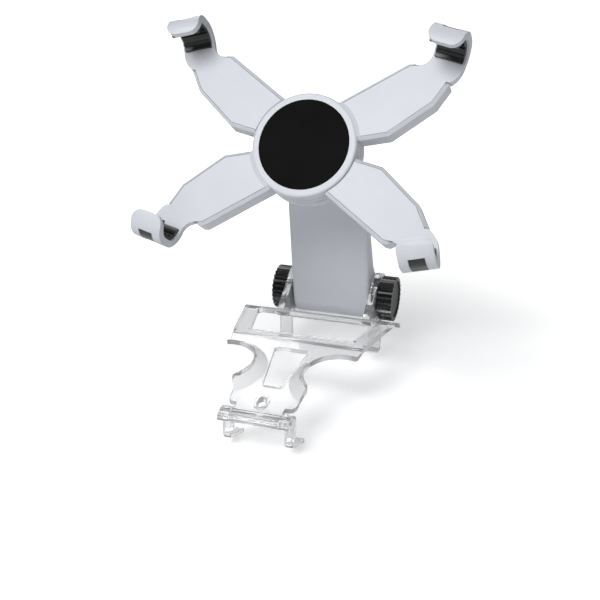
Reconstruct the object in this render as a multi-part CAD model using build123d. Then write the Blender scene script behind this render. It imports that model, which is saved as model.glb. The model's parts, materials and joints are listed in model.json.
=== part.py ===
from build123d import *
import math
import os

# Clip that carries a phone above a hand-held game pad.
# Millimetres. X runs across the pad, Y away from the player, Z up.
# The origin is the middle of the touch pad window, on the pad's upper surface.

# Window frame and neck plate, the clear cradle
SKIN = 2.2
WINDOW_REAR_HALF = 32.8
WINDOW_FRONT_HALF = 26.8
WINDOW_DEPTH = 29.0
WINDOW_CORNER = 3.0
FRAME_REAR_HALF = 42.4
FRAME_FRONT_HALF = 33.5
FRAME_FRONT_Y = -23.0
FRAME_REAR_Y = 25.0
APRON_HALF = 29.5
APRON_Y = 37.0
APRON_DROP = 8.5
APRON_START_Y = 16.5
APRON_BEND = 12.0
NECK_START_Y = -19.0
NECK_SLOPE = 11.0
STICK_X = 28.6
STICK_Y = -47.0
WELL_OUT = 1.1
WELL_RADIUS = 16.5
MOUND_FOOT = 21.4
MOUND_FLANK = 33.5
SHOULDER_HALF = 32.0
SHOULDER_Y = -36.0
LOBE_HALF = 18.3
LOBE_Y = -60.0
LOBE_STEP = 4.0
LOBE_FRONT_HALF = 16.4
LOBE_CORNER = 3.5
NECK_FRONT_Y = -71.2
VENT_Y = -26.5
VENT_LENGTH = 30.5
VENT_REAR_HALF = 8.8
VENT_FRONT_HALF = 4.6
VENT_CORNER = 1.8
ARCH_HALF = 2.1
ARCH_REAR_Y = -66.0
ARCH_FRONT_Y = -73.2
ARCH_RIM = 1.2
ARCH_RISE = 0.7
BEAD = 1.3
BEAD_RISE = 0.9

# Front latch and its pin
TONGUE_HALF = 11.6
KNUCKLE_Y = -77.0
KNUCKLE_Z = -11.4
KNUCKLE_RADIUS = 2.4
PIN_RADIUS = 1.0
LATCH_HALF = 16.8
CHEEK_GAP = 0.35
CHEEK_BACK_Y = -72.9
LATCH_FRONT_Y = -82.4
LATCH_WALL = 2.4
LATCH_RISE = 2.4
LATCH_DROP = 1.1
CHEEK_DROP = 3.2
RIDGE_RADIUS = 0.8
RIDGE_PITCH = 1.5
LEG_WIDTH = 3.6
LEG_FRONT_Y = -76.2
LEG_DEPTH = 5.6
LEG_FOOT_Z = -21.8
FOOT_RADIUS = 5.0
FOOT_THICK = 1.8
FOOT_REACH = 13.0
FOOT_DIP = 16.0

# Hinge between cradle and arm
HINGE_Y = 50.5
HINGE_Z = 2.0
BARREL_RADIUS = 12.0
BOLT_RADIUS = 2.5
BOLT_PLAY = 0.05
EAR_THICK = 3.5
EAR_RADIUS = 13.4
BRIDGE_RADIUS = 2.4
TAB_OUT = 28.8
TAB_Y = 37.2
TAB_LOW_Z = -24.0
TAB_WALL = 2.6
TAB_LIP = 4.4
TAB_LIP_THICK = 2.2
SIDE_PLAY = 0.3
FRICTION_THICK = 0.25
WASHER_RADIUS = 7.0

# Clamping knobs
KNOB_RADIUS = 12.2
KNOB_LENGTH = 8.2
KNOB_PLAY = 0.3
KNOB_BOSS = 8.0
KNOB_STEP = 0.4
FLUTES = 26
FLUTE_DEEP = 1.5
KNOB_DISH = 0.7
CAP_INSET = 2.2
CAP_THICK = 1.0
INSERT_RADIUS = 4.0
INSERT_LENGTH = 6.0

# Arm panel
ARM_HALF = 21.5
ARM_LEAN = 8.9
ARM_TOP_Z = 80.0
ARM_TOP_THICK = 7.4
ARM_WEDGE_Z = 46.0
ARM_EDGE = 1.6
SHELL_WALL = 2.0
COVER_THICK = 2.2
COVER_INSET = 3.2
COVER_PLAY = 0.1
COVER_LOW_Z = 18.0
COVER_SCREW_SIDE = 5.0
COVER_SCREW_TOP = 14.0
COVER_SCREW_FOOT = 12.0

# Tilt joint at the head of the arm
TILT_OFFSET = 33.0
KNUCKLE_HALF = 5.0
HEAD_RADIUS = 6.2
HEAD_SINK = 1.5
HEAD_ROOT_TOP = 0.5
HEAD_ROOT_FOOT = 16.0
LUG_THICK = 3.6
LUG_PLAY = 0.1
TILT_BOLT_RADIUS = 2.0
TILT_HEAD_RADIUS = 3.6
TILT_HEAD_LENGTH = 2.2

# Holder: hub centre, and its plane leaned back
HUB_Y = -8.5
HUB_Z = 97.7
HUB_TILT = 30.6
HUB_RADIUS = 25.5
RING_RISE = 1.2
SKIRT = 1.4
RING_WALL = 3.5
PAD_RADIUS = HUB_RADIUS - RING_WALL
PAD_FLOOR = -0.6
PAD_RISE = 1.3
PAD_PLAY = 0.1
FRONT_DISC = 4.6
SLIP = 0.4
SLIP_INSET = 4.0
REAR_DISC_LOW = -9.6
BAR_DEPTH = 10.0
SWEEP_GAP = 0.4
HOUSING_LOW = -17.0
HOUSING_WALL = 2.4
HOUSING_EDGE = 1.2
FLANGE_RADIUS = 11.0
FLANGE_THICK = 2.5
SHAFT_RADIUS = 4.0
SHAFT_PLAY = 0.05
RECESS_RADIUS = 8.5
RECESS_DEPTH = 2.4
WAVE_RISE = 0.8
WAVE_THICK = 0.25
WAVE_PLAY = 0.06
SCREW_HEAD_RADIUS = 5.5
SCREW_HEAD = 1.4
PIVOT_SCREW_RADIUS = 2.0
PIVOT_SCREW_LENGTH = 9.0

# One arm of the holder, the upper right one, from the hub centre
ARM_ROOT_IN = (8.2, 17.0)
ARM_SHOULDER = (44.4, 41.5)
ARM_STEP = (48.6, 41.9)
ARM_TIP_OUT = (62.5, 34.5)
ARM_BEND_OUT = (57.0, 24.5)
ARM_KNEE = (38.5, 8.8)
ARM_ROOT_OUT = (17.0, 3.9)
RIM = 1.5
PLATE = 3.4
PLATE_PLAY = 0.12
TRAY_WALL = 1.5
NECK_WIDE = 1.8
NECK_DEEP = 5.2
NECK_ROOT = (54.0, 35.0)
NECK_SAG_IN = (52.0, 43.4)
NECK_SAG_OUT = (67.6, 37.7)

# Hook at the end of the arm
HOOK_TURN = 14.0
HOOK_START = 41.3
HOOK_WIDTH = 16.0
HOOK_CENTRE = 58.3
HOOK_OUTER = 10.5
HOOK_DEEPER = 4.0
HOOK_LIP = 1.0
HOOK_CORNER = 5.0
SLOT_WIDE = 7.4
SLOT_LONG = 13.6
SLOT_TURN = 14.0
SLOT_PLAY = 0.2
PEG_SINK = 0.3
RUBBER_THICK = 1.6
RUBBER_INSET = 1.2
RUBBER_GAP = 0.05
RIB_RISE = 0.6
RIB_WIDE = 1.2
SHELL_SCREW_RADIUS = 1.1
SHELL_SCREW_HEAD = 2.0
SHELL_SCREW_PLAY = 0.05
SCREW_SEAT = 1.2
SCREW_SUNK = 0.2
POST_RADIUS = 2.6
POST_GAP = 0.6
HOLDER_SCREWS = ((40.0, 28.5), (53.5, 33.0))

# Room beyond the clip, for cutters
BEYOND = 60.0


def slab(face, low, high):
    return Pos(0, 0, low) * extrude(face, high - low)


def disc(radius, low, high):
    return slab(Circle(radius), low, high)


def ring(outer, inner, low, high):
    return slab(Circle(outer) - Circle(inner), low, high)


def outline(*points):
    return make_face(Polyline(*points, close=True))


def rod_x(radius, low, high, y, z):
    rod = Pos(0, 0, (low + high) / 2) * Cylinder(radius, high - low)
    return Pos(0, y, z) * (Rot(0, 90, 0) * rod)


def side_slab(face, low, high):
    # a face drawn with its x along Y and its y along Z, given width along X
    side = Plane(origin=(low, 0, 0), x_dir=(0, 1, 0), z_dir=(1, 0, 0))
    return side.location * extrude(face, high - low)


def both_sides(part):
    return part + mirror(part, about=Plane.YZ)


HOLDER = Plane(
    origin=(0, HUB_Y, HUB_Z),
    x_dir=(1, 0, 0),
    z_dir=(0, -math.cos(math.radians(HUB_TILT)), math.sin(math.radians(HUB_TILT))),
)


# Cradle

def slope_drop(y):
    # how far the neck has sloped down at this distance towards the player
    return (NECK_START_Y - y) * math.tan(math.radians(NECK_SLOPE))


def pad_body():
    # the game pad's skin seen from the side, front to back, with room below
    front_y = NECK_FRONT_Y - 25
    rear_y = APRON_Y + 15
    rear_z = -APRON_DROP * (rear_y - APRON_START_Y) / (APRON_Y - APRON_START_Y)
    face = outline(
        (front_y, -slope_drop(front_y)), (NECK_START_Y, 0), (APRON_START_Y, 0), (rear_y, rear_z),
        (rear_y, -BEYOND), (front_y, -BEYOND),
    )
    bends = face.vertices().filter_by(lambda v: abs(v.Y) < 0.01)
    return fillet(bends, APRON_BEND)


def skin_face(low, high):
    inner = offset(pad_body(), low) if low else pad_body()
    return offset(pad_body(), high) - inner


def window_outline(grow=0.0):
    half = WINDOW_DEPTH / 2
    face = outline(
        (-WINDOW_REAR_HALF, half), (WINDOW_REAR_HALF, half),
        (WINDOW_FRONT_HALF, -half), (-WINDOW_FRONT_HALF, -half),
    )
    face = fillet(face.vertices(), WINDOW_CORNER)
    return offset(face, grow) if grow else face


def slope_plane():
    # the plane that the neck lies on
    slope = math.radians(NECK_SLOPE)
    return Plane(origin=(0, NECK_START_Y, 0), x_dir=(1, 0, 0), z_dir=(0, -math.sin(slope), math.cos(slope)))


def stick_mound(side, thick):
    # raised ground round a stick's well, with the skin's thickness added on its flank
    flank = math.radians(MOUND_FLANK)
    foot = MOUND_FOOT + thick / math.sin(flank)
    top = WELL_RADIUS / 2
    rise = (foot - top) * math.tan(flank)
    cone = Pos(0, 0, rise / 2) * Cone(foot, top, rise)
    along = (STICK_Y - NECK_START_Y) / math.cos(math.radians(NECK_SLOPE))
    return slope_plane().location * (Pos(side * STICK_X, along) * cone)


def cradle_outline():
    frame = outline(
        (-FRAME_REAR_HALF, FRAME_REAR_Y), (-APRON_HALF, APRON_Y), (APRON_HALF, APRON_Y),
        (FRAME_REAR_HALF, FRAME_REAR_Y), (FRAME_FRONT_HALF, FRAME_FRONT_Y), (SHOULDER_HALF, SHOULDER_Y),
        (-SHOULDER_HALF, SHOULDER_Y), (-FRAME_FRONT_HALF, FRAME_FRONT_Y),
    )
    lobe_front = LOBE_Y - LOBE_STEP
    neck = outline(
        (-LOBE_HALF, SHOULDER_Y + 1), (LOBE_HALF, SHOULDER_Y + 1), (LOBE_HALF, LOBE_Y),
        (LOBE_FRONT_HALF, lobe_front), (LOBE_FRONT_HALF, NECK_FRONT_Y), (-LOBE_FRONT_HALF, NECK_FRONT_Y),
        (-LOBE_FRONT_HALF, lobe_front), (-LOBE_HALF, LOBE_Y),
    )
    corners = neck.vertices().filter_by(lambda v: v.Y < lobe_front - 1)
    neck = fillet(corners, LOBE_CORNER)
    tongue = Pos(0, (NECK_FRONT_Y + KNUCKLE_Y) / 2) * Rectangle(
        2 * TONGUE_HALF, NECK_FRONT_Y - KNUCKLE_Y + 2)
    face = frame + neck
    for side in (-1, 1):
        face -= Pos(side * (STICK_X + WELL_OUT), STICK_Y) * Circle(WELL_RADIUS)
    return face + tongue


def vent_outline():
    front = VENT_Y - VENT_LENGTH
    vent = outline(
        (-VENT_REAR_HALF, VENT_Y), (VENT_REAR_HALF, VENT_Y),
        (VENT_FRONT_HALF, front), (-VENT_FRONT_HALF, front),
    )
    return fillet(vent.vertices(), VENT_CORNER)


def arch_outline(grow=0.0):
    half = ARCH_HALF + grow
    length = ARCH_REAR_Y - ARCH_FRONT_Y + 2 * grow
    middle = (ARCH_REAR_Y + ARCH_FRONT_Y) / 2
    return Pos(0, middle) * (Rot(0, 0, 90) * SlotOverall(length, 2 * half))


def cradle_plate():
    skin = side_slab(skin_face(0, SKIN), -BEYOND, BEYOND)
    for side in (-1, 1):
        skin += stick_mound(side, SKIN)
    for side in (-1, 1):
        skin -= stick_mound(side, 0)
    plan = cradle_outline() - window_outline() - vent_outline()
    skin &= slab(plan, -BEYOND, BEYOND)
    rim = side_slab(skin_face(SKIN / 2, SKIN + ARCH_RISE), -BEYOND, BEYOND)
    rim &= slab(arch_outline(ARCH_RIM), -BEYOND, BEYOND)
    return skin + rim - slab(arch_outline(), -BEYOND, BEYOND)


def window_beads():
    # raised rims round the window and along the frame's outer edge
    inner = window_outline(BEAD) - window_outline()
    outer = outline(
        (-FRAME_REAR_HALF, FRAME_REAR_Y), (FRAME_REAR_HALF, FRAME_REAR_Y),
        (FRAME_FRONT_HALF, FRAME_FRONT_Y), (-FRAME_FRONT_HALF, FRAME_FRONT_Y),
    )
    outer -= offset(outer, -BEAD)
    flat = Pos(0, (NECK_START_Y + APRON_START_Y) / 2) * Rectangle(120, APRON_START_Y - NECK_START_Y - 3)
    return slab((inner + outer) & flat, SKIN / 2, SKIN + BEAD_RISE)


def ear():
    low = ARM_HALF + SIDE_PLAY + FRICTION_THICK
    foot = (APRON_Y - 1.5, -APRON_DROP - 1.0)
    toe = (APRON_START_Y + 6.5, -1.0)
    back = (HINGE_Y - 2, HINGE_Z - EAR_RADIUS + 0.3)
    face = Pos(HINGE_Y, HINGE_Z) * Circle(EAR_RADIUS)
    crown = (HINGE_Y - EAR_RADIUS * math.sin(math.radians(25)),
             HINGE_Z + EAR_RADIUS * math.cos(math.radians(25)))
    face += outline(toe, crown, (HINGE_Y, HINGE_Z), back, foot)
    face -= Pos(HINGE_Y, HINGE_Z) * Circle(BOLT_RADIUS + BOLT_PLAY)
    return side_slab(face, low, low + EAR_THICK)


def bridge():
    return rod_x(BRIDGE_RADIUS, -APRON_HALF, APRON_HALF, APRON_Y - 0.8, -APRON_DROP + SKIN / 2)


def rear_tab():
    # hook under each ear that goes down behind the game pad and grips its rear edge
    top = -APRON_DROP
    lip_top = TAB_LOW_Z + TAB_LIP_THICK
    wall = outline(
        (TAB_Y - 1.5, top + 2), (TAB_Y + TAB_WALL, top + 1), (TAB_Y + TAB_WALL, TAB_LOW_Z + 1),
        (TAB_Y + TAB_WALL - 1, TAB_LOW_Z), (TAB_Y - TAB_LIP, TAB_LOW_Z), (TAB_Y - TAB_LIP, TAB_LOW_Z + 1),
        (TAB_Y, lip_top + 1), (TAB_Y, top - 1),
    )
    return side_slab(wall, ARM_HALF + SIDE_PLAY + FRICTION_THICK, TAB_OUT)


def cradle():
    body = cradle_plate() + window_beads() + bridge()
    body += both_sides(ear()) + both_sides(rear_tab())
    barrel = rod_x(KNUCKLE_RADIUS, -TONGUE_HALF, TONGUE_HALF, KNUCKLE_Y, KNUCKLE_Z)
    ahead = Pos(0, KNUCKLE_Y - BEYOND / 2, KNUCKLE_Z) * Box(2 * BEYOND, BEYOND, BEYOND)
    body = body - ahead + barrel
    return body - rod_x(PIN_RADIUS + BOLT_PLAY, -TONGUE_HALF - 1, TONGUE_HALF + 1, KNUCKLE_Y, KNUCKLE_Z)


# Front latch

def latch_side():
    # outline of the latch's cheek and, between the cheeks, of its front bar
    top = KNUCKLE_Z + LATCH_RISE
    low = KNUCKLE_Z - LATCH_DROP
    face = outline(
        (CHEEK_BACK_Y, top - 0.8), (CHEEK_BACK_Y - 1.2, top), (LATCH_FRONT_Y + 1.4, top - 0.4),
        (LATCH_FRONT_Y, top - 1.6), (LATCH_FRONT_Y, low), (CHEEK_BACK_Y, low),
    )
    return face


def cheek_boss():
    # rounded lower end of the cheek round the pin
    return Pos(KNUCKLE_Y, KNUCKLE_Z) * Circle(CHEEK_DROP)


def latch_leg():
    # leg and J-shaped foot that goes under the game pad's front edge
    top = KNUCKLE_Z
    leg = Pos(LEG_FRONT_Y + LEG_DEPTH / 2, (top + LEG_FOOT_Z) / 2) * Rectangle(LEG_DEPTH, top - LEG_FOOT_Z)
    centre = Pos(LEG_FRONT_Y + FOOT_RADIUS, LEG_FOOT_Z)
    bend = Circle(FOOT_RADIUS) - Circle(FOOT_RADIUS - FOOT_THICK)
    bend &= Pos(0, -FOOT_RADIUS) * Rectangle(2 * FOOT_RADIUS, 2 * FOOT_RADIUS)
    dip = Rot(0, 0, -FOOT_DIP)
    bend &= dip * Pos(-FOOT_RADIUS, 0) * Rectangle(2 * FOOT_RADIUS, 4 * FOOT_RADIUS)
    sole = Pos(FOOT_REACH / 2, 0) * Rectangle(FOOT_REACH, FOOT_THICK)
    sole += Pos(FOOT_REACH, 0) * Circle(FOOT_THICK / 2)
    sole = dip * Pos(0, FOOT_THICK / 2 - FOOT_RADIUS) * sole
    return side_slab(leg + centre * (bend + sole), LATCH_HALF - LEG_WIDTH, LATCH_HALF)


def front_latch():
    cheek = side_slab(latch_side() + cheek_boss(), TONGUE_HALF + CHEEK_GAP, LATCH_HALF)
    front = Pos(LATCH_FRONT_Y + LATCH_WALL / 2, KNUCKLE_Z) * Rectangle(LATCH_WALL, 4 * LATCH_RISE)
    bar = side_slab(latch_side() & front, -LATCH_HALF, LATCH_HALF)
    top = KNUCKLE_Z + LATCH_RISE - RIDGE_RADIUS / 2
    upper_y = LATCH_FRONT_Y + LATCH_WALL - RIDGE_RADIUS
    lower_y = LATCH_FRONT_Y + RIDGE_RADIUS / 4
    ridges = rod_x(RIDGE_RADIUS, -TONGUE_HALF, TONGUE_HALF, upper_y, top)
    ridges += rod_x(RIDGE_RADIUS, -TONGUE_HALF, TONGUE_HALF, lower_y, top - RIDGE_PITCH)
    body = bar + both_sides(cheek + latch_leg()) + ridges
    return body - rod_x(PIN_RADIUS, -LATCH_HALF - 1, LATCH_HALF + 1, KNUCKLE_Y, KNUCKLE_Z)


def latch_pin():
    return rod_x(PIN_RADIUS, -LATCH_HALF, LATCH_HALF, KNUCKLE_Y, KNUCKLE_Z)


# Arm

def lean(distance_up):
    # how far the arm's front face comes forward at this height above the hinge
    return distance_up * math.tan(math.radians(ARM_LEAN))


def arm_front_y(z):
    return HINGE_Y - BARREL_RADIUS / math.cos(math.radians(ARM_LEAN)) - lean(z - HINGE_Z)


def arm_side():
    wedge_y = arm_front_y(ARM_WEDGE_Z) + ARM_TOP_THICK + 0.6
    top_y = arm_front_y(ARM_TOP_Z)
    tangent = math.radians(ARM_LEAN)
    touch = (HINGE_Y - BARREL_RADIUS * math.cos(tangent), HINGE_Z - BARREL_RADIUS * math.sin(tangent))
    back = math.radians(16)
    leave = (HINGE_Y + BARREL_RADIUS * math.cos(back), HINGE_Z + BARREL_RADIUS * math.sin(back))
    face = outline(
        touch, (top_y, ARM_TOP_Z), (top_y + ARM_TOP_THICK, ARM_TOP_Z),
        (wedge_y, ARM_WEDGE_Z), (HINGE_Y - 1.5, HINGE_Z + 19), leave, (HINGE_Y, HINGE_Z),
    )
    face = face + Pos(HINGE_Y, HINGE_Z) * Circle(BARREL_RADIUS)
    return face


def arm_blank():
    blank = side_slab(arm_side(), -ARM_HALF, ARM_HALF)
    edges = blank.edges().filter_by(lambda e: abs(abs(e.center().X) - ARM_HALF) < 0.01)
    return fillet(edges, ARM_EDGE)


def tilt_centre():
    angle = math.radians(HUB_TILT)
    return HUB_Y + TILT_OFFSET * math.cos(angle), HUB_Z - TILT_OFFSET * math.sin(angle)


def arm_head():
    # knuckle on the front of the arm that the tilt bracket straddles
    y, z = tilt_centre()
    root_y = arm_front_y(ARM_TOP_Z) + HEAD_SINK
    web = outline(
        (y, z - HEAD_RADIUS), (y, z + HEAD_RADIUS),
        (root_y, ARM_TOP_Z - HEAD_ROOT_TOP), (root_y, ARM_TOP_Z - HEAD_ROOT_FOOT),
    )
    face = web + Pos(y, z) * Circle(HEAD_RADIUS)
    face -= Pos(y, z) * Circle(TILT_BOLT_RADIUS + BOLT_PLAY)
    return side_slab(face, -KNUCKLE_HALF, KNUCKLE_HALF)


def cover_face(grow=0.0):
    height = ARM_TOP_Z - COVER_INSET - COVER_LOW_Z
    face = Rectangle(2 * (ARM_HALF - COVER_INSET + grow), height + 2 * grow)
    return fillet(face.vertices(), 4.0)


def behind(face, low, high):
    # a face drawn in X and Z, pushed along Y from low to high
    middle = (ARM_TOP_Z - COVER_INSET + COVER_LOW_Z) / 2
    plane = Plane(origin=(0, high, middle), x_dir=(1, 0, 0), z_dir=(0, -1, 0))
    return plane.location * extrude(face, high - low)


def arm_inside(wall):
    inner = offset(arm_side(), -wall)
    return side_slab(inner, -ARM_HALF + wall, ARM_HALF - wall)


def back_skin(thick):
    # the layer just under the arm's back face
    shifted = Pos(0, -thick, 0) * side_slab(arm_side(), -ARM_HALF, ARM_HALF)
    return arm_blank() - shifted


def arm_front_shell():
    body = arm_blank()
    hollow = arm_inside(SHELL_WALL) & behind(cover_face(-2.2), 0, 80)
    recess = back_skin(COVER_THICK) & behind(cover_face(COVER_PLAY), arm_front_y(ARM_TOP_Z) + 3, 90)
    body -= hollow
    for x, z in cover_screw_places():
        body += side_post(x, z)
    body = body - recess + arm_head()
    body -= rod_x(BOLT_RADIUS + BOLT_PLAY, -ARM_HALF - 1, ARM_HALF + 1, HINGE_Y, HINGE_Z)
    for x, z in cover_screw_places():
        body -= post_hole(x, z, SHELL_SCREW_RADIUS)
    return body


def cover_screw_places():
    side = ARM_HALF - COVER_INSET - COVER_SCREW_SIDE
    upper = ARM_TOP_Z - COVER_SCREW_TOP
    lower = COVER_LOW_Z + COVER_SCREW_FOOT
    return [(x, z) for z in (upper, lower) for x in (-side, side)]


def arm_back_y(z):
    strip = side_slab(arm_side(), -1, 1) & Pos(0, BEYOND, z) * Box(4, 2 * BEYOND, 0.02)
    return strip.bounding_box().max.Y


def rod_y(radius, low, high, x, z):
    rod = Pos(0, 0, (low + high) / 2) * Cylinder(radius, high - low)
    return Pos(x, 0, z) * (Rot(-90, 0, 0) * rod)


def side_post(x, z):
    top = arm_back_y(z) - COVER_THICK - POST_GAP
    return rod_y(POST_RADIUS, arm_front_y(z) + SHELL_WALL / 2, top, x, z)


def post_hole(x, z, radius):
    back = arm_back_y(z)
    return rod_y(radius, back - COVER_THICK - 5.0, back + 1, x, z)


def arm_back_cover():
    cover = back_skin(COVER_THICK) & behind(cover_face(), arm_front_y(ARM_TOP_Z) + 3, 90)
    for x, z in cover_screw_places():
        back = arm_back_y(z)
        cover -= rod_y(SHELL_SCREW_RADIUS, back - 6, back + 2, x, z)
        cover -= rod_y(SHELL_SCREW_HEAD, back - SCREW_SEAT, back + 4, x, z)
    return cover


def arm_screws():
    screws = []
    for x, z in cover_screw_places():
        back = arm_back_y(z)
        shank = rod_y(SHELL_SCREW_RADIUS, back - COVER_THICK - 4.5, back - 1.0, x, z)
        head_radius = SHELL_SCREW_HEAD - SHELL_SCREW_PLAY
        head = rod_y(head_radius, back - SCREW_SEAT, back - SCREW_SUNK, x, z)
        screws.append(shank + head)
    return Compound(screws)


# Hinge hardware

def hinge_bolt():
    end = knob_start() + INSERT_LENGTH
    return rod_x(BOLT_RADIUS, -end, end, HINGE_Y, HINGE_Z)


def knob_start():
    return ARM_HALF + SIDE_PLAY + FRICTION_THICK + EAR_THICK + KNOB_PLAY


def knob():
    start = knob_start()
    end = start + KNOB_LENGTH
    notch = Rectangle(FLUTE_DEEP, FLUTE_DEEP, rotation=45)
    face = Circle(KNOB_RADIUS) - PolarLocations(KNOB_RADIUS, FLUTES) * notch
    body = side_slab(face, start + KNOB_STEP, end) + rod_x(KNOB_BOSS, start, end - 2, 0, 0)
    body -= rod_x(KNOB_RADIUS - CAP_INSET, end - KNOB_DISH - CAP_THICK, end + 1, 0, 0)
    body -= rod_x(INSERT_RADIUS, start - 1, start + INSERT_LENGTH, 0, 0)
    return Pos(0, HINGE_Y, HINGE_Z) * body


def knob_cap():
    low = knob_start() + KNOB_LENGTH - KNOB_DISH - CAP_THICK
    return rod_x(KNOB_RADIUS - CAP_INSET, low, low + CAP_THICK, HINGE_Y, HINGE_Z)


def knob_insert():
    start = knob_start()
    face = Circle(INSERT_RADIUS) - Circle(BOLT_RADIUS + BOLT_PLAY)
    return Pos(0, HINGE_Y, HINGE_Z) * side_slab(face, start, start + INSERT_LENGTH)


def friction_washer():
    face = Circle(WASHER_RADIUS) - Circle(BOLT_RADIUS + BOLT_PLAY)
    low = ARM_HALF + SIDE_PLAY
    return Pos(0, HINGE_Y, HINGE_Z) * side_slab(face, low, low + FRICTION_THICK)


# Holder, drawn in its own plane with the hub axis along z

def arm_plate_outline():
    return outline(ARM_ROOT_IN, ARM_SHOULDER, ARM_STEP, ARM_TIP_OUT, ARM_BEND_OUT, ARM_KNEE, ARM_ROOT_OUT)


def end_side():
    # everything on the hub's side of the line where the tray ends
    along = Vector(ARM_TIP_OUT[0] - ARM_STEP[0], ARM_TIP_OUT[1] - ARM_STEP[1], 0).normalized()
    inward = Vector(along.Y, -along.X, 0)
    a = Vector(*ARM_STEP, 0) - along * 40
    b = Vector(*ARM_TIP_OUT, 0) + along * 40
    return outline(tuple(a), tuple(b), tuple(b + inward * 90), tuple(a + inward * 90))


def tray_outline(grow):
    return offset(arm_plate_outline(), grow, kind=Kind.INTERSECTION) & end_side()


def hook_axes():
    turn = math.radians(HOOK_TURN)
    return Vector(math.cos(turn), -math.sin(turn), 0), Vector(math.sin(turn), math.cos(turn), 0)


def hook_point(a, o):
    across, out = hook_axes()
    return across * a + out * o


def neck_outline():
    inner = hook_point(HOOK_START, HOOK_CENTRE)
    outer = hook_point(HOOK_START + HOOK_WIDTH, HOOK_CENTRE)
    start = Vector(*ARM_STEP, 0)
    end = Vector(ARM_TIP_OUT[0] + NECK_WIDE, ARM_TIP_OUT[1] - 0.1, 0)
    lines = Curve() + [
        ThreePointArc(start, Vector(*NECK_SAG_IN, 0), inner),
        Line(inner, outer),
        ThreePointArc(outer, Vector(*NECK_SAG_OUT, 0), end),
        Line(end, Vector(*NECK_ROOT, 0)),
        Line(Vector(*NECK_ROOT, 0), start),
    ]
    return make_face(lines)


def hook_plane(a):
    across, out = hook_axes()
    return Plane(origin=tuple(across * a), x_dir=tuple(out), z_dir=tuple(across))


def bend_heights():
    # centres of the hook's two bends above the plate's face
    first = HOOK_OUTER - PLATE
    return first, first + HOOK_DEEPER


def hook_oval(radius):
    # two half circles joined by the hook's straight back
    first, second = bend_heights()
    oval = Rot(0, 0, 90) * SlotCenterToCenter(second - first, 2 * radius)
    return Pos(HOOK_CENTRE, (first + second) / 2) * oval


def hook_profile(outer, inner, reach):
    # C-shaped section: from the neck's face round to the lip in front
    first, second = bend_heights()
    outside = Pos(HOOK_CENTRE + outer / 2, (first + second) / 2) * Rectangle(outer, 2 * outer + HOOK_DEEPER)
    loop = (hook_oval(outer) - hook_oval(inner)) & outside
    if reach:
        middle = (outer + inner) / 2
        for z in (first - middle, second + middle):
            loop += Pos(HOOK_CENTRE - reach / 2, z) * Rectangle(reach, outer - inner)
    return loop


def slot_outline(play=0.0):
    # window through the hook's back, seen in the hook's section
    first, second = bend_heights()
    window = Rot(0, 0, SLOT_TURN) * Pos(HOOK_OUTER, 0) * Rectangle(HOOK_OUTER, SLOT_LONG - 2 * play)
    return Pos(HOOK_CENTRE, (first + second) / 2) * window


def hook_middle():
    return HOOK_START + HOOK_WIDTH / 2


def across_hook(face, width):
    # a section drawn in the hook's plane, given width along the hook's axis
    plane = hook_plane(hook_middle() - width / 2)
    return plane.location * extrude(face, width)


def tongue_field():
    # more than the whole holder in its own plane
    return Circle(3 * HOOK_CENTRE)


def hook():
    solid = across_hook(hook_profile(HOOK_OUTER, HOOK_OUTER - PLATE, HOOK_LIP), HOOK_WIDTH)
    long = 3 * HOOK_OUTER
    tongue = RectangleRounded(HOOK_WIDTH, long, HOOK_CORNER)
    tongue = Rot(0, 0, -HOOK_TURN) * Pos(hook_middle(), HOOK_CENTRE - HOOK_LIP + long / 2) * tongue
    lip = solid & slab(tongue, bend_heights()[1], 3 * HOOK_OUTER)
    back = solid - slab(tongue_field(), bend_heights()[1], 3 * HOOK_OUTER)
    return lip + back - across_hook(slot_outline(), SLOT_WIDE)


def hook_rubber():
    # lining of the hook, ribbed inside, with a peg in the slot
    outer = HOOK_OUTER - PLATE - RUBBER_GAP
    inner = outer - RUBBER_THICK
    first, second = bend_heights()
    face = hook_profile(outer, inner, 0)
    for z, angle in ((first, -60), (first, -20), ((first + second) / 2, 0), (second, 20), (second, 60)):
        rib = Rot(0, 0, angle) * Pos(inner, 0) * Rectangle(2 * RIB_RISE, RIB_WIDE)
        face += Pos(HOOK_CENTRE, z) * rib
    peg = slot_outline(SLOT_PLAY) & hook_oval(HOOK_OUTER - PEG_SINK)
    peg -= hook_oval(outer - RUBBER_THICK / 2)
    lining = across_hook(face, HOOK_WIDTH - 2 * RUBBER_INSET)
    return lining + across_hook(peg, SLOT_WIDE - 2 * SLOT_PLAY)


def neck_wedge():
    # the neck is deepest at the tray's end and thins to the hook's thickness
    start = Vector(*ARM_TIP_OUT, 0).dot(hook_axes()[1])
    face = outline((0, -NECK_DEEP), (start, -NECK_DEEP), (HOOK_CENTRE, -PLATE), (HOOK_CENTRE, 1), (0, 1))
    return hook_plane(0).location * extrude(face, 2 * HOOK_CENTRE)


def claw_plate():
    plate = offset(arm_plate_outline(), -PLATE_PLAY)
    deep = slab(neck_outline() - end_side(), -NECK_DEEP, 0) & neck_wedge()
    return slab(plate + neck_outline(), -PLATE, 0) + deep + hook()


def tray_blank():
    blank = slab(tray_outline(RIM), -BAR_DEPTH, 0)
    front = blank.edges().filter_by(lambda e: abs(e.center().Z) < 0.01)
    blank = chamfer(front, RIM - 0.2)
    pocket = slab(arm_plate_outline(), -PLATE, 1)
    inside = offset(arm_plate_outline(), -TRAY_WALL) & offset(end_side(), -TRAY_WALL)
    inside -= Circle(HUB_RADIUS + SWEEP_GAP + TRAY_WALL)
    return blank - pocket - slab(inside, -BAR_DEPTH + TRAY_WALL, 1)


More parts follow.
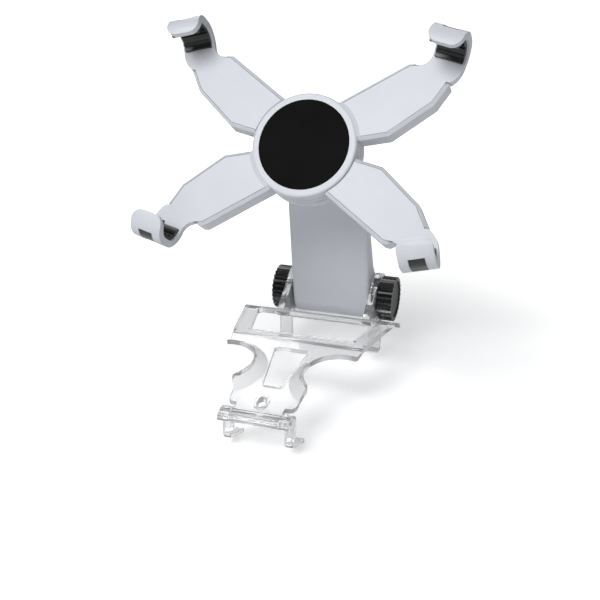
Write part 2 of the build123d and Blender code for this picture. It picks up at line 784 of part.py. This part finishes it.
def tray_posts(part):
    for x, y in HOLDER_SCREWS:
        part += Pos(x, y, 0) * disc(POST_RADIUS, -BAR_DEPTH + TRAY_WALL / 3, -PLATE)
    for x, y in HOLDER_SCREWS:
        part -= Pos(x, y, 0) * disc(SHELL_SCREW_RADIUS, -BAR_DEPTH - 1, -PLATE + 1)
        part -= Pos(x, y, 0) * disc(SHELL_SCREW_HEAD, -BAR_DEPTH - 1, -BAR_DEPTH + SCREW_SEAT)
    return part


def plate_holes(part):
    for x, y in HOLDER_SCREWS:
        part -= Pos(x, y, 0) * disc(SHELL_SCREW_RADIUS, -PLATE - 1, -0.9)
    return part


def shell_screws():
    screws = []
    for x, y in HOLDER_SCREWS:
        shank = disc(SHELL_SCREW_RADIUS, -BAR_DEPTH + 1.0, -1.0)
        head_radius = SHELL_SCREW_HEAD - SHELL_SCREW_PLAY
        head = disc(head_radius, -BAR_DEPTH + SCREW_SUNK, -BAR_DEPTH + SCREW_SEAT)
        screws.append(Pos(x, y, 0) * (shank + head))
    return screws


def half_turn(part):
    return Rot(0, 0, 180) * part


def hub_clear(low):
    return disc(HUB_RADIUS + SWEEP_GAP, low, 20)


def front_disc():
    body = disc(HUB_RADIUS, -FRONT_DISC, RING_RISE)
    rim = body.edges().filter_by(lambda e: e.center().Z > RING_RISE - 0.01)
    body = fillet(rim, 1.1)
    body -= disc(PAD_RADIUS + PAD_PLAY, PAD_FLOOR, RING_RISE + 1)
    body -= disc(RECESS_RADIUS, PAD_FLOOR - RECESS_DEPTH, RING_RISE)
    return body - disc(SHAFT_RADIUS + SHAFT_PLAY, -BAR_DEPTH, RING_RISE)


def front_bar():
    claw = plate_holes(claw_plate())
    claw -= disc(HUB_RADIUS - 1, -PLATE - 10, 5)
    skirt = slab(arm_plate_outline(), -PLATE / 2, RING_RISE) & ring_skirt()
    claw += skirt
    body = front_disc() + claw + half_turn(claw)
    return body


def ring_skirt():
    # small slope where the arms run into the hub ring
    inner = HUB_RADIUS - RING_RISE / 2
    profile = outline((inner, -PLATE / 2), (inner, RING_RISE / 2), (HUB_RADIUS, RING_RISE / 2),
                      (HUB_RADIUS + SKIRT, 0), (HUB_RADIUS + SKIRT, -PLATE / 2))
    return revolve(Plane.XZ.location * profile, Axis.Z)


def front_bar_shell():
    shell = tray_posts(tray_blank())
    return shell - disc(HUB_RADIUS + SWEEP_GAP, -BAR_DEPTH - 1, 5)


def mirrored(part):
    return mirror(part, about=Plane.YZ)


def rear_bar():
    tray = tray_posts(tray_blank()) - hub_clear(-FRONT_DISC - SLIP)
    root = slab(tray_outline(RIM), REAR_DISC_LOW, -FRONT_DISC - SLIP) & disc(HUB_RADIUS + 3.5, -BAR_DEPTH, 0)
    arm = tray - disc(HUB_RADIUS + SWEEP_GAP, -BAR_DEPTH - 1, REAR_DISC_LOW) + root
    body = disc(HUB_RADIUS, REAR_DISC_LOW, -FRONT_DISC - SLIP) + arm + half_turn(arm)
    body -= disc(SHAFT_RADIUS + SHAFT_PLAY, -BAR_DEPTH - 1, 0)
    return mirrored(body)


def rear_bar_claw():
    claw = plate_holes(claw_plate())
    return mirrored(claw - disc(HUB_RADIUS + SWEEP_GAP, -PLATE - 10, 5))


def centre_pad():
    body = disc(PAD_RADIUS, PAD_FLOOR, PAD_RISE)
    rim = body.edges().filter_by(lambda e: e.center().Z > PAD_RISE - 0.01)
    return chamfer(rim, 0.35)


def rear_housing():
    body = disc(HUB_RADIUS, HOUSING_LOW, -BAR_DEPTH)
    edge = body.edges().filter_by(lambda e: e.center().Z < HOUSING_LOW + 0.01)
    body = chamfer(edge, HOUSING_EDGE)
    body -= ring(HUB_RADIUS - HOUSING_WALL, FLANGE_RADIUS, HOUSING_LOW + HOUSING_WALL, -BAR_DEPTH + 1)
    return body - disc(SHAFT_RADIUS + SHAFT_PLAY, HOUSING_LOW - 1, 0)


def slip_washer(radius, low):
    return ring(radius, SHAFT_RADIUS + SHAFT_PLAY, low, low + SLIP)


def recess_floor():
    return PAD_FLOOR - RECESS_DEPTH


def wave_washer():
    # thin spring washer, three waves drawn as a shallow cone
    floor = recess_floor()
    inner, outer = SHAFT_RADIUS + 0.1, RECESS_RADIUS - 1.2
    low = floor + WAVE_PLAY
    high = floor + WAVE_RISE - WAVE_PLAY
    profile = outline((inner, high - WAVE_THICK), (inner, high), (outer, low + WAVE_THICK), (outer, low))
    return revolve(Plane.XZ.location * profile, Axis.Z)


def pivot_screw():
    floor = recess_floor()
    seat = floor + WAVE_RISE
    head = disc(SCREW_HEAD_RADIUS, seat, seat + SCREW_HEAD)
    head -= slab(RegularPolygon(1.6, 6), seat + 0.4, seat + 2.2)
    return head + disc(PIVOT_SCREW_RADIUS, seat - PIVOT_SCREW_LENGTH, seat + 0.1)


def tilt_bracket():
    top = HOUSING_LOW - SLIP
    body = disc(FLANGE_RADIUS, top - FLANGE_THICK, top)
    body += disc(SHAFT_RADIUS, top - 0.5, recess_floor() + 0.75)
    inner = KNUCKLE_HALF + LUG_PLAY
    face = Pos(0, -TILT_OFFSET) * Circle(HEAD_RADIUS)
    face += Pos(0, (top - 1.0 - TILT_OFFSET) / 2) * Rectangle(2 * HEAD_RADIUS, TILT_OFFSET + top - 1.0)
    face -= Pos(0, -TILT_OFFSET) * Circle(TILT_BOLT_RADIUS + 0.02)
    body += both_sides(side_slab(face, inner, inner + LUG_THICK))
    return body - disc(PIVOT_SCREW_RADIUS, top - FLANGE_THICK - 1, 0)


def tilt_screw():
    end = KNUCKLE_HALF + LUG_PLAY + LUG_THICK
    shank = rod_x(TILT_BOLT_RADIUS, -end - 2.0, end, 0, -TILT_OFFSET)
    head = rod_x(TILT_HEAD_RADIUS, end, end + TILT_HEAD_LENGTH, 0, -TILT_OFFSET)
    drive = Pos(0, 0, -TILT_OFFSET) * side_slab(RegularPolygon(1.7, 6), end + 0.8, end + 3)
    return shank + head - drive


def tilt_nut():
    end = KNUCKLE_HALF + LUG_PLAY + LUG_THICK
    face = RegularPolygon(TILT_HEAD_RADIUS + 0.3, 6) - Circle(TILT_BOLT_RADIUS)
    return Pos(0, 0, -TILT_OFFSET) * side_slab(face, -end - 2.4, -end)


# Everything together

def holder_nodes():
    shell = front_bar_shell()
    rubber = hook_rubber()
    claw = rear_bar_claw()
    front_screws = Compound(shell_screws() + [half_turn(s) for s in shell_screws()])
    return {
        "front_bar": front_bar(),
        "front_bar_shell_right": shell,
        "front_bar_shell_left": half_turn(shell),
        "front_bar_screws": front_screws,
        "rear_bar": rear_bar(),
        "rear_bar_claw_left": claw,
        "rear_bar_claw_right": half_turn(claw),
        "rear_bar_screws": mirrored(front_screws),
        "hook_rubber_upper_right": rubber,
        "hook_rubber_lower_left": half_turn(rubber),
        "hook_rubber_upper_left": mirrored(rubber),
        "hook_rubber_lower_right": half_turn(mirrored(rubber)),
        "centre_pad": centre_pad(),
        "rear_housing": rear_housing(),
        "slip_washer_front": slip_washer(HUB_RADIUS - SLIP_INSET, -FRONT_DISC - SLIP),
        "slip_washer_rear": slip_washer(HUB_RADIUS - SLIP_INSET, -BAR_DEPTH),
        "slip_washer_back": slip_washer(FLANGE_RADIUS - 0.5, HOUSING_LOW - SLIP),
        "wave_washer": wave_washer(),
        "pivot_screw": pivot_screw(),
        "tilt_bracket": tilt_bracket(),
        "tilt_screw": tilt_screw(),
        "tilt_nut": tilt_nut(),
    }


def all_nodes():
    nodes = {name: HOLDER.location * part for name, part in holder_nodes().items()}
    nodes.update({
        "cradle": cradle(),
        "front_latch": front_latch(),
        "latch_pin": latch_pin(),
        "arm_front_shell": arm_front_shell(),
        "arm_back_cover": arm_back_cover(),
        "arm_screws": arm_screws(),
        "hinge_bolt": hinge_bolt(),
        "knob_right": knob(),
        "knob_left": mirrored(knob()),
        "knob_cap_right": knob_cap(),
        "knob_cap_left": mirrored(knob_cap()),
        "knob_insert_right": knob_insert(),
        "knob_insert_left": mirrored(knob_insert()),
        "friction_washer_right": friction_washer(),
        "friction_washer_left": mirrored(friction_washer()),
    })
    return nodes


def main():
    os.makedirs("parts", exist_ok=True)
    for name, part in all_nodes().items():
        export_step(part, "parts/" + name + ".step")


main()
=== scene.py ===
import json
import math

import bmesh
import bpy
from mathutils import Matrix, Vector


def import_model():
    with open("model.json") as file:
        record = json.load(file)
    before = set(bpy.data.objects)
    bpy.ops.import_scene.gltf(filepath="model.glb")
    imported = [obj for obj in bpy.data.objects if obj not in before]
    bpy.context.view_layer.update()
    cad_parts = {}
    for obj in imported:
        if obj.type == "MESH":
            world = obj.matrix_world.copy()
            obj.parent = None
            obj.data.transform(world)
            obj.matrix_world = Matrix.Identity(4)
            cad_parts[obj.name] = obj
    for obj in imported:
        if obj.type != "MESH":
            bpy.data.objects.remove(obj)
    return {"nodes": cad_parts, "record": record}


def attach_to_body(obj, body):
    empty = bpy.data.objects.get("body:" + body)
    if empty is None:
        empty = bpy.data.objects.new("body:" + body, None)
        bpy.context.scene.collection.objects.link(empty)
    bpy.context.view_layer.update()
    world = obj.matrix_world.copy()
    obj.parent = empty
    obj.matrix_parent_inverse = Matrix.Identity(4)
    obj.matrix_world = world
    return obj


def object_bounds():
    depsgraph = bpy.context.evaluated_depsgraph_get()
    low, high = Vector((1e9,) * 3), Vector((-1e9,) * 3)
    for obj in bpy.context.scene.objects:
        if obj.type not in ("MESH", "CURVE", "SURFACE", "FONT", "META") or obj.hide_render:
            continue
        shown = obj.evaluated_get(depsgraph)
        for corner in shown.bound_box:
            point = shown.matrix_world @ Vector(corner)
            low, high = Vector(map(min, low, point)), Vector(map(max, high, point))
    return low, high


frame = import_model()
CAD_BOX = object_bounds()
NODES = frame["nodes"]

MM = 0.001

# Camera, where the photograph was taken from
CAMERA_PLACE = (137.3 * MM, -429.7 * MM, 194.9 * MM)
CAMERA_AZIMUTH = 18.3
CAMERA_ELEVATION = 21.6
CAMERA_LENS = 57.24
CAMERA_SENSOR = 36.0
CAMERA_CLIP = 0.01

# Phone holder: where its hub stands, how far it leans back, and its arms' outer ends
HUB = Vector((0, -8.5, 97.7)) * MM
HUB_LEAN = math.radians(30.6)
HUB_RADIUS = 25.5
HOLDER_ACROSS = Vector((1, 0, 0))
HOLDER_UP = Vector((0, math.sin(HUB_LEAN), math.cos(HUB_LEAN)))
HOLDER_FRONT = Vector((0, -math.cos(HUB_LEAN), math.sin(HUB_LEAN)))
ARM_STEP = Vector((48.6, 41.9))
ARM_TIP = Vector((62.5, 34.5))

# Painted shadow: a dark strip laid in the seam between each cover and the rim round it
SEAM_RADIUS = 0.22
SEAM_SINK = 0.14
SEAM_HUB_GAP = 2.0
SEAM_TIP_GAP = 0.5
FACING = 0.999
LEVEL = 0.05 * MM
TOUCH = 0.01 * MM
COVERS = {"front_bar": "front_bar", "rear_bar_claw_left": "rear_bar", "rear_bar_claw_right": "rear_bar"}

# Collar that closes the front arms' shells against the hub
COLLAR_IN = HUB_RADIUS + 0.12
COLLAR_OUT = HUB_RADIUS + 0.6
COLLAR_LOW = -9.9
COLLAR_HIGH = -0.15
COLLAR_CORNERS = (
    (COLLAR_IN, COLLAR_LOW), (COLLAR_OUT, COLLAR_LOW),
    (COLLAR_OUT, COLLAR_HIGH), (COLLAR_IN, COLLAR_HIGH),
)
COLLAR_START = 9.8
COLLAR_END = 59.0
COLLAR_STEPS = 12

# Rounds on sharp edges, in mm, once a node's faces are joined
EDGE_ROUNDS = {
    "front_bar_shell_left": 0.35,
    "front_bar_shell_right": 0.35,
    "rear_bar": 0.3,
    "rear_bar_claw_left": 0.3,
    "rear_bar_claw_right": 0.3,
    "arm_front_shell": 0.5,
    "arm_back_cover": 0.4,
    "cradle": 0.22,
    "front_latch": 0.22,
}
EDGE_ANGLE = 30.0
EDGE_SEGMENTS = 2
JOIN = 0.0005 * MM

# Surfaces: scales of the noise in tone, polish and grain, and how far each varies
PLASTIC_TONE = 60
PLASTIC_POLISH = 900
PLASTIC_GRAIN = 2600
PLASTIC_UNEVEN = 0.05
GRAIN_DEPTH = 0.05 * MM
METAL_TONE = 300
METAL_POLISH = 1500
METAL_UNEVEN = 0.07
METAL_DARK = 0.9
CLEAR_TONE = 40
CLEAR_POLISH = 500
CLEAR_SMOOTH = 0.06
CLEAR_DULL = 0.12
CLEAR_DARK = 0.97
CLEAR_INDEX = 1.49
CLEAR_PASS = 0.85
FINE = 3.0

# Studio
FLOOR_COLOUR = (0.9, 0.9, 0.9)
FLOOR_ROUGH = 0.9
FLOOR_SPECULAR = 0.1
FLOOR_DROP = 0.4 * MM
FLOOR_SIZE = 30.0
FLOOR_NEAR = 0.12
FLOOR_FAR = 0.40
FLOOR_LIFT = 0.34
AMBIENT = 0.20
AMBIENT_COLOUR = (0.94, 0.97, 1.0)
WHITE = (0.995, 0.995, 0.995)


def new_material(name):
    material = bpy.data.materials.new(name)
    material.use_nodes = True
    tree = material.node_tree
    shader = tree.nodes["Principled BSDF"]
    return material, tree, shader


def object_coordinates(tree):
    return tree.nodes.new("ShaderNodeTexCoord").outputs["Object"]


def noise(tree, scale, detail=2.0):
    node = tree.nodes.new("ShaderNodeTexNoise")
    node.inputs["Scale"].default_value = scale
    node.inputs["Detail"].default_value = detail
    tree.links.new(object_coordinates(tree), node.inputs["Vector"])
    return node.outputs["Fac"]


def ramp(tree, factor, dark, light, low=0.35, high=0.65):
    node = tree.nodes.new("ShaderNodeValToRGB")
    node.color_ramp.elements[0].position = low
    node.color_ramp.elements[0].color = (*dark, 1)
    node.color_ramp.elements[1].position = high
    node.color_ramp.elements[1].color = (*light, 1)
    tree.links.new(factor, node.inputs["Fac"])
    return node.outputs["Color"]


def spread(tree, factor, low, high):
    node = tree.nodes.new("ShaderNodeMapRange")
    node.inputs["To Min"].default_value = low
    node.inputs["To Max"].default_value = high
    tree.links.new(factor, node.inputs["Value"])
    return node.outputs["Result"]


def bump(tree, shader, height, strength, distance):
    node = tree.nodes.new("ShaderNodeBump")
    node.inputs["Strength"].default_value = strength
    node.inputs["Distance"].default_value = distance
    tree.links.new(height, node.inputs["Height"])
    tree.links.new(node.outputs["Normal"], shader.inputs["Normal"])


def moulded(name, colour, roughness, grain, specular=0.5, vary=0.04):
    # plastic or rubber with a fine grain and a slightly uneven tone
    material, tree, shader = new_material(name)
    dark = tuple(c * (1 - vary) for c in colour)
    light = tuple(min(1.0, c * (1 + vary)) for c in colour)
    tree.links.new(ramp(tree, noise(tree, PLASTIC_TONE), dark, light), shader.inputs["Base Color"])
    polish = noise(tree, PLASTIC_POLISH, FINE)
    rough = spread(tree, polish, roughness - PLASTIC_UNEVEN, roughness + PLASTIC_UNEVEN)
    tree.links.new(rough, shader.inputs["Roughness"])
    bump(tree, shader, noise(tree, PLASTIC_GRAIN), grain, GRAIN_DEPTH)
    shader.inputs["Specular IOR Level"].default_value = specular
    return material


def metal(name, colour, roughness):
    material, tree, shader = new_material(name)
    dark = tuple(c * METAL_DARK for c in colour)
    tree.links.new(ramp(tree, noise(tree, METAL_TONE), dark, colour), shader.inputs["Base Color"])
    polish = noise(tree, METAL_POLISH, FINE)
    rough = spread(tree, polish, roughness - METAL_UNEVEN, roughness + METAL_UNEVEN)
    tree.links.new(rough, shader.inputs["Roughness"])
    shader.inputs["Metallic"].default_value = 1.0
    return material


def clear(name, colour):
    material, tree, shader = new_material(name)
    dark = tuple(c * CLEAR_DARK for c in colour)
    tree.links.new(ramp(tree, noise(tree, CLEAR_TONE), dark, colour), shader.inputs["Base Color"])
    rough = spread(tree, noise(tree, CLEAR_POLISH), CLEAR_SMOOTH, CLEAR_DULL)
    tree.links.new(rough, shader.inputs["Roughness"])
    shader.inputs["IOR"].default_value = CLEAR_INDEX
    shader.inputs["Transmission Weight"].default_value = CLEAR_PASS
    return material


MATERIALS = {
    "clear_plastic": clear("clear_plastic", (0.84, 0.845, 0.855)),
    "silver_plastic": moulded("silver_plastic", (0.60, 0.615, 0.66), roughness=0.42, grain=0.12,
                              specular=0.35, vary=0.012),
    "black_plastic": moulded("black_plastic", (0.010, 0.010, 0.011), roughness=0.28, grain=0.1, vary=0.1),
    "grey_plastic": moulded("grey_plastic", (0.06, 0.06, 0.062), roughness=0.5, grain=0.2, vary=0.1),
    "black_rubber": moulded("black_rubber", (0.014, 0.0145, 0.0145), roughness=0.34, grain=0.2, vary=0.1),
    "slip_plastic": moulded("slip_plastic", (0.75, 0.75, 0.73), roughness=0.35, grain=0.1),
    "steel": metal("steel", (0.62, 0.62, 0.63), roughness=0.3),
    "brass": metal("brass", (0.78, 0.62, 0.3), roughness=0.3),
}
PAD_RUBBER = moulded("pad_rubber", (0.0048, 0.0048, 0.005), roughness=0.75, grain=0.3,
                     specular=0.06, vary=0.12)
# painted shadow: the grey of the strips laid in the seams between covers and rims
SEAM_PAINTED_SHADOW = moulded("seam_shade", (0.20, 0.205, 0.215), roughness=0.8, grain=0.1, specular=0.1)


def dress_nodes():
    for part in frame["record"]["subparts"]:
        node = NODES[part["node"]]
        node.data.materials.clear()
        node.data.materials.append(MATERIALS[part["material_slot"]])
    NODES["centre_pad"].data.materials[0] = PAD_RUBBER


def soften(node, width):
    # a small round on the node's sharp edges
    join = NODES[node].modifiers.new("join", "WELD")
    join.merge_threshold = JOIN
    round_off = NODES[node].modifiers.new("edge", "BEVEL")
    round_off.width = width * MM
    round_off.segments = EDGE_SEGMENTS
    round_off.limit_method = "ANGLE"
    round_off.angle_limit = math.radians(EDGE_ANGLE)
    round_off.harden_normals = True
    round_off.use_clamp_overlap = True


def holder_place(across, up, front):
    # a point given in the phone holder's own plane, in mm
    return HUB + (HOLDER_ACROSS * across + HOLDER_UP * up + HOLDER_FRONT * front) * MM


def add_piece(name, mesh, material, body):
    obj = bpy.data.objects.new(name, mesh)
    obj.data.materials.append(material)
    bpy.context.scene.collection.objects.link(obj)
    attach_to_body(obj, body)


def on_seam(point):
    # true round a cover's flat, false at the hub and on the necks of the hooks
    place = (point - HUB) / MM
    flat = Vector((abs(place.dot(HOLDER_ACROSS)), abs(place.dot(HOLDER_UP))))
    end = ARM_TIP - ARM_STEP
    outward = Vector((-end.y, end.x)).dot(flat - ARM_STEP)
    return outward < -SEAM_TIP_GAP and flat.length > HUB_RADIUS + SEAM_HUB_GAP


def seam_edges(node):
    # the border of a cover's flat front
    mesh = bmesh.new()
    mesh.from_mesh(NODES[node].data)
    mesh.transform(NODES[node].matrix_world)
    edges = []
    for edge in mesh.edges:
        flat = [f for f in edge.link_faces
                if f.normal.dot(HOLDER_FRONT) > FACING
                and abs((f.calc_center_median() - HUB).dot(HOLDER_FRONT)) < LEVEL]
        if len(flat) == 1 and on_seam((edge.verts[0].co + edge.verts[1].co) / 2):
            edges.append(tuple(v.co.copy().freeze() for v in edge.verts))
    mesh.free()
    return edges


def attach(chain, edge):
    # adds an edge to the end of the chain that it touches, if any
    for near, far in (edge, edge[::-1]):
        if (near - chain[-1]).length < TOUCH:
            chain.append(far)
            return True
        if (near - chain[0]).length < TOUCH:
            chain.insert(0, far)
            return True
    return False


def take_next(chain, rest):
    # moves the first loose edge that touches the chain onto it
    for edge in rest:
        if attach(chain, edge):
            rest.remove(edge)
            return True
    return False


def chains(edges):
    # joins loose edges end to end
    rest = list(edges)
    found = []
    while rest:
        chain = list(rest.pop())
        while take_next(chain, rest):
            pass
        found.append(chain)
    return found


def paint_seam_shadow(node, body):
    # a dark strip painted as the shadow line in the gap between a cover and its rim
    curve = bpy.data.curves.new("seam_" + node, "CURVE")
    curve.dimensions = "3D"
    curve.bevel_depth = SEAM_RADIUS * MM
    curve.bevel_resolution = 1
    curve.use_fill_caps = True
    for chain in chains(seam_edges(node)):
        line = curve.splines.new("POLY")
        line.points.add(len(chain) - 1)
        for point, place in zip(line.points, chain):
            point.co = (*(place - HOLDER_FRONT * SEAM_SINK * MM), 1)
    add_piece("seam_" + node, curve, SEAM_PAINTED_SHADOW, body)


def collar_row(mesh, degrees):
    # the strip's four corners at one angle round the hub
    angle = math.radians(degrees)
    row = []
    for radius, height in COLLAR_CORNERS:
        place = holder_place(radius * math.cos(angle), radius * math.sin(angle), height)
        row.append(mesh.verts.new(place))
    return row


def collar(name, turn):
    # curved strip at an arm's root, from the shell to just off the hub
    mesh = bmesh.new()
    rows = []
    for step in range(COLLAR_STEPS + 1):
        along = (COLLAR_END - COLLAR_START) * step / COLLAR_STEPS
        rows.append(collar_row(mesh, turn + COLLAR_START + along))
    for near, far in zip(rows, rows[1:]):
        for corner in range(len(COLLAR_CORNERS)):
            before = corner - 1
            mesh.faces.new((near[corner], near[before], far[before], far[corner]))
    mesh.faces.new(rows[0])
    mesh.faces.new(rows[-1][::-1])
    bmesh.ops.recalc_face_normals(mesh, faces=mesh.faces)
    data = bpy.data.meshes.new(name)
    mesh.to_mesh(data)
    mesh.free()
    add_piece(name, data, MATERIALS["silver_plastic"], "front_bar")


def camera():
    data = bpy.data.cameras.new("camera")
    data.lens = CAMERA_LENS
    data.sensor_width = CAMERA_SENSOR
    data.clip_start = CAMERA_CLIP
    obj = bpy.data.objects.new("camera", data)
    obj.location = CAMERA_PLACE
    obj.rotation_euler = (math.radians(90 - CAMERA_ELEVATION), 0, math.radians(CAMERA_AZIMUTH))
    bpy.context.scene.collection.objects.link(obj)
    bpy.context.scene.camera = obj


def seen(tree, names):
    # one for the kinds of ray that are named, none for the rest
    path = tree.nodes.new("ShaderNodeLightPath")
    total = path.outputs[names[0]]
    for name in names[1:]:
        add = tree.nodes.new("ShaderNodeMath")
        add.operation = "MAXIMUM"
        tree.links.new(total, add.inputs[0])
        tree.links.new(path.outputs[name], add.inputs[1])
        total = add.outputs[0]
    return total


def world():
    # plain soft light for the object, white for the camera and behind clear pieces
    scene_world = bpy.data.worlds.new("studio")
    scene_world.use_nodes = True
    tree = scene_world.node_tree
    plain = tree.nodes["Background"]
    plain.inputs["Color"].default_value = (*AMBIENT_COLOUR, 1)
    plain.inputs["Strength"].default_value = AMBIENT
    white = tree.nodes.new("ShaderNodeBackground")
    white.inputs["Color"].default_value = (*WHITE, 1)
    mix = tree.nodes.new("ShaderNodeMixShader")
    tree.links.new(seen(tree, ("Is Camera Ray", "Is Transmission Ray")), mix.inputs[0])
    tree.links.new(plain.outputs[0], mix.inputs[1])
    tree.links.new(white.outputs[0], mix.inputs[2])
    tree.links.new(mix.outputs[0], tree.nodes["World Output"].inputs["Surface"])
    bpy.context.scene.world = scene_world


def floor_glow(tree):
    # white that the camera sees added to the floor: some near the object, all of it far off
    length = tree.nodes.new("ShaderNodeVectorMath")
    length.operation = "LENGTH"
    tree.links.new(object_coordinates(tree), length.inputs[0])
    far = tree.nodes.new("ShaderNodeMapRange")
    far.interpolation_type = "SMOOTHSTEP"
    far.inputs["From Min"].default_value = FLOOR_NEAR
    far.inputs["From Max"].default_value = FLOOR_FAR
    far.inputs["To Min"].default_value = FLOOR_LIFT
    far.inputs["To Max"].default_value = 1.0
    tree.links.new(length.outputs["Value"], far.inputs["Value"])
    glow = tree.nodes.new("ShaderNodeMath")
    glow.operation = "MULTIPLY"
    tree.links.new(far.outputs["Result"], glow.inputs[0])
    tree.links.new(seen(tree, ("Is Camera Ray", "Is Transmission Ray")), glow.inputs[1])
    return glow.outputs[0]


def floor():
    low = CAD_BOX[0][2] - FLOOR_DROP
    bpy.ops.mesh.primitive_plane_add(size=FLOOR_SIZE, location=(0, 0, low))
    plane = bpy.context.object
    plane.name = "floor"
    material, tree, shader = new_material("floor")
    shader.inputs["Base Color"].default_value = (*FLOOR_COLOUR, 1)
    shader.inputs["Roughness"].default_value = FLOOR_ROUGH
    shader.inputs["Specular IOR Level"].default_value = FLOOR_SPECULAR
    shader.inputs["Emission Color"].default_value = (1, 1, 1, 1)
    tree.links.new(floor_glow(tree), shader.inputs["Emission Strength"])
    plane.data.materials.append(material)


def lamp(name, place, target, size, power):
    # a soft round lamp turned to its target
    data = bpy.data.lights.new(name, "AREA")
    data.shape = "DISK"
    data.size = size
    data.energy = power
    obj = bpy.data.objects.new(name, data)
    obj.location = place
    aim = Vector(target) - Vector(place)
    obj.rotation_euler = aim.to_track_quat("-Z", "Y").to_euler()
    bpy.context.scene.collection.objects.link(obj)


dress_nodes()
for node, width in EDGE_ROUNDS.items():
    soften(node, width)
for cover, carrier in COVERS.items():
    paint_seam_shadow(cover, carrier)
collar("arm_collar_right", 0)
collar("arm_collar_left", 180)
camera()
world()
floor()
lamp("key", place=(-0.25, -1.10, 1.15), target=(0, 0, 0.06), size=0.9, power=19.0)
lamp("fill", place=(0.9, -0.5, 0.3), target=(0, 0, 0.05), size=0.5, power=1.2)
lamp("back", place=(-0.3, 0.9, 0.8), target=(0, 0, 0.06), size=0.6, power=3.0)
bpy.context.scene.view_settings.view_transform = "Standard"
